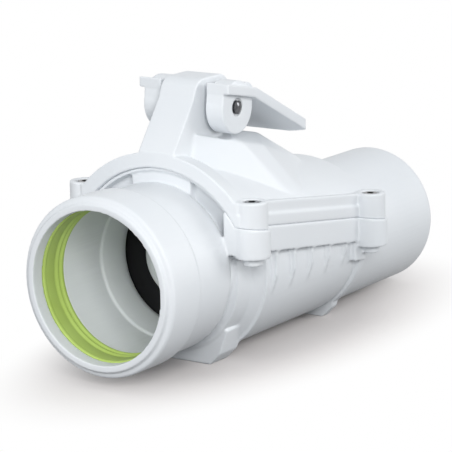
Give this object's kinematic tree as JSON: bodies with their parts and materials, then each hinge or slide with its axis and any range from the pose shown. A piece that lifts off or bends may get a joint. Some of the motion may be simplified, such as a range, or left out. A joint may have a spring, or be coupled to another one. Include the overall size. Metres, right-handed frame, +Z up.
{
  "type": "backwater valve",
  "caption": "White plastic backwater valve for drain pipes, with a sealed socket inlet, a spigot outlet, a screwed inspection cover, a hinged flap and a lever that locks the flap shut.",
  "frame": {"origin": "centre of the inlet socket's mouth, on the inlet axis", "axes": "+X with the flow from inlet to outlet, +Z up towards the inspection cover"},
  "size_m": [0.384, 0.174, 0.2075],
  "materials": {
    "white_plastic": "satin",
    "pale_plastic": "matte",
    "green_rubber": "matte",
    "black_rubber": "matte",
    "grey_plastic": "matte",
    "steel": "satin"
  },
  "bodies": {
    "housing": {"valve_body": "white_plastic", "inlet_seal": "green_rubber", "cover_gasket": "black_rubber", "inspection_cover": "white_plastic", "cover_screws": "steel", "screw_washers": "steel", "hinge_pin": "steel", "hinge_clips": "steel", "shaft_bushes": "grey_plastic", "stem_spring": "steel"},
    "lever": {"lever": "white_plastic", "lever_shaft": "steel", "shaft_caps": "steel", "locking_cam": "grey_plastic", "cam_pin": "steel"},
    "stem": {"locking_stem": "steel", "stem_seal": "black_rubber"},
    "flap": {"flap_plate": "pale_plastic", "flap_rubber": "black_rubber", "flap_clamp_disc": "pale_plastic", "flap_screws": "steel", "heel_pad": "grey_plastic"}
  },
  "joints": [
    {"name": "lever_turn", "type": "hinge", "parent": "housing", "child": "lever", "pos_m": [0.13, 0, 0.1115], "axis": [0, -1, 0], "range_deg": [0, 85]},
    {"name": "stem_slide", "type": "slide", "parent": "housing", "child": "stem", "axis": [0, 0, -1], "range_m": [0, 0.009], "deforming": ["stem_spring"]},
    {"name": "flap_swing", "type": "hinge", "parent": "housing", "child": "flap", "pos_m": [0.116, 0, 0.06], "axis": [0, -1, 0], "range_deg": [0, 68]}
  ],
  "couplings": [
    {"joint": "stem_slide", "follows": "lever_turn", "m_per_rad": 0.0060666}
  ]
}
